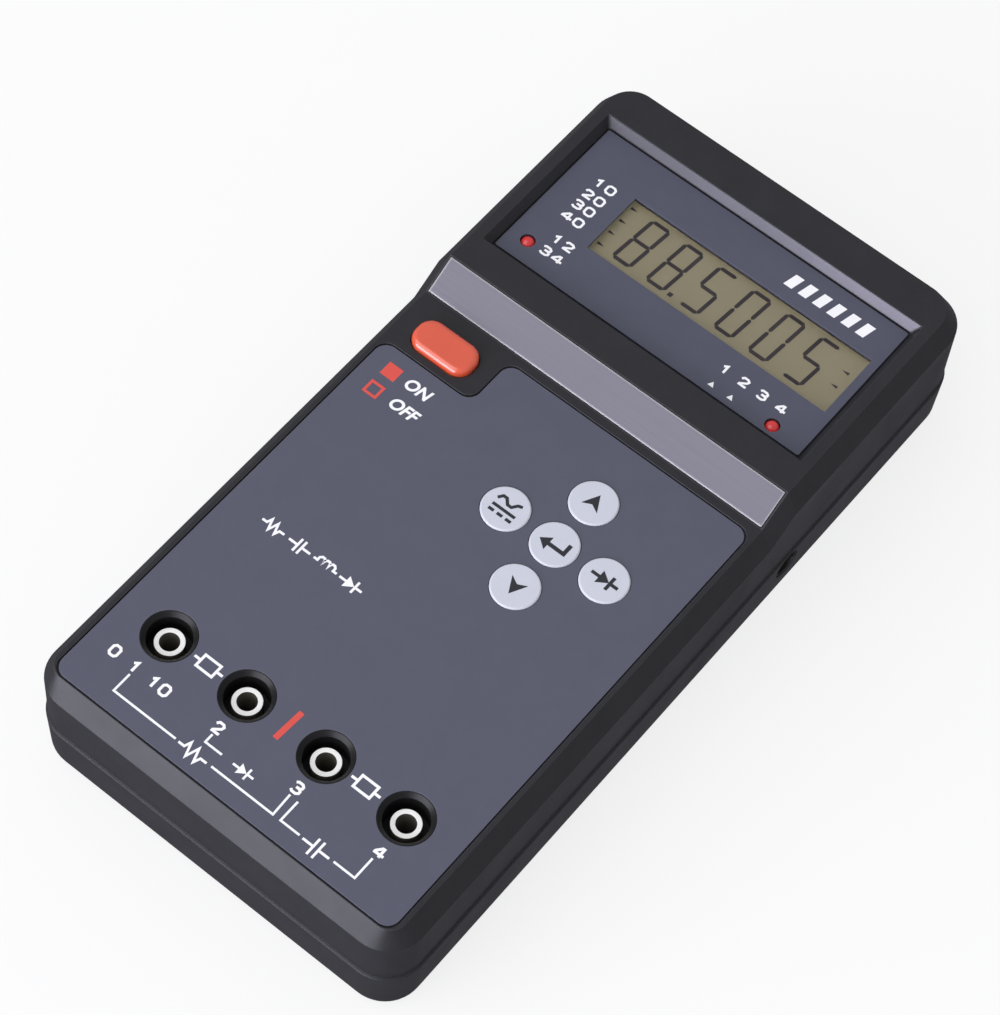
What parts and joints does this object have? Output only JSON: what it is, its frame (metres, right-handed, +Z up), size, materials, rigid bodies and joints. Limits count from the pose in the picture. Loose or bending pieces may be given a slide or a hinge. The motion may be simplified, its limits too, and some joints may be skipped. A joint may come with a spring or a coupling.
{
  "type": "handheld component tester",
  "caption": "Hand-held bench tester: bevelled two-part case with a raised display head, sunk numeric display, round keys, red power button and shrouded sockets for test plugs.",
  "frame": {"origin": "middle of the case's outline, in the plane that the four feet stand on", "axes": "+Z up out of the keypad, +Y along the case towards the display head, +X to the user's right"},
  "size_m": [0.0892, 0.1798, 0.0355],
  "materials": {
    "case_plastic": "fine moulded grain",
    "keypad_plate": "printed satin",
    "display_plate": "printed satin",
    "silver_trim": "satin",
    "clear_window": "clear",
    "display_glass": "reflective display",
    "frame_plastic": "moulded",
    "contact_rubber": "striped",
    "red_lamp": "tinted clear",
    "red_plastic": "polished",
    "switch_plastic": "moulded",
    "key_plastic": "satin",
    "board_laminate": "solder mask",
    "socket_plastic": "moulded",
    "socket_metal": "nickel plated",
    "cell_wrap": "plain wrap",
    "spring_steel": "bright",
    "inlet_plastic": "moulded",
    "screw_steel": "zinc plated",
    "foot_rubber": "matt",
    "fuse_glass": "clear tube, plated caps",
    "chip_plastic": "moulded",
    "capacitor_can": "sleeved can"
  },
  "bodies": {
    "case": {"rear_housing": "case_plastic", "front_housing": "case_plastic", "keypad_panel": "keypad_plate", "display_panel": "display_plate", "trim_strip": "silver_trim", "display_window": "clear_window", "lcd_glass": "display_glass", "lcd_frame": "frame_plastic", "zebra_strips": "contact_rubber", "led_left": "red_lamp", "led_right": "red_lamp", "power_switch": "switch_plastic", "key_switch_up": "switch_plastic", "key_switch_down": "switch_plastic", "key_switch_left": "switch_plastic", "key_switch_right": "switch_plastic", "key_switch_enter": "switch_plastic", "main_board": "board_laminate", "jack_insulator_1": "socket_plastic", "jack_insulator_2": "socket_plastic", "jack_insulator_3": "socket_plastic", "jack_insulator_4": "socket_plastic", "jack_sleeve_1": "socket_metal", "jack_sleeve_2": "socket_metal", "jack_sleeve_3": "socket_metal", "jack_sleeve_4": "socket_metal", "jack_nuts": "socket_metal", "battery_cell_1": "cell_wrap", "battery_cell_2": "cell_wrap", "battery_cell_3": "cell_wrap", "battery_cell_4": "cell_wrap", "battery_contacts_left": "spring_steel", "battery_contacts_right": "spring_steel", "dc_pin": "spring_steel", "dc_lugs": "spring_steel", "fuse_clips": "spring_steel", "dc_inlet": "inlet_plastic", "case_screws": "screw_steel", "board_screws": "screw_steel", "foot_1": "foot_rubber", "foot_2": "foot_rubber", "foot_3": "foot_rubber", "foot_4": "foot_rubber", "fuse": "fuse_glass", "processor_chip": "chip_plastic", "amplifier_chips": "chip_plastic", "capacitors": "capacitor_can"},
    "power_button": {"power_button": "red_plastic", "power_plunger": "switch_plastic"},
    "battery_door": {"battery_door": "case_plastic"},
    "up_key": {"key_up": "key_plastic"},
    "down_key": {"key_down": "key_plastic"},
    "left_key": {"key_left": "key_plastic"},
    "right_key": {"key_right": "key_plastic"},
    "enter_key": {"key_enter": "key_plastic"}
  },
  "joints": [
    {"name": "power_press", "type": "slide", "parent": "case", "child": "power_button", "axis": [0, 0, -1], "range_m": [0, 0.0015], "stiffness_N_per_m": 1000},
    {"name": "door_slide", "type": "slide", "parent": "case", "child": "battery_door", "axis": [0, 1, 0], "range_m": [0, 0.06]},
    {"name": "up_press", "type": "slide", "parent": "case", "child": "up_key", "axis": [0, 0, -1], "range_m": [0, 0.0005], "stiffness_N_per_m": 800},
    {"name": "down_press", "type": "slide", "parent": "case", "child": "down_key", "axis": [0, 0, -1], "range_m": [0, 0.0005], "stiffness_N_per_m": 800},
    {"name": "left_press", "type": "slide", "parent": "case", "child": "left_key", "axis": [0, 0, -1], "range_m": [0, 0.0005], "stiffness_N_per_m": 800},
    {"name": "right_press", "type": "slide", "parent": "case", "child": "right_key", "axis": [0, 0, -1], "range_m": [0, 0.0005], "stiffness_N_per_m": 800},
    {"name": "enter_press", "type": "slide", "parent": "case", "child": "enter_key", "axis": [0, 0, -1], "range_m": [0, 0.0005], "stiffness_N_per_m": 800}
  ]
}
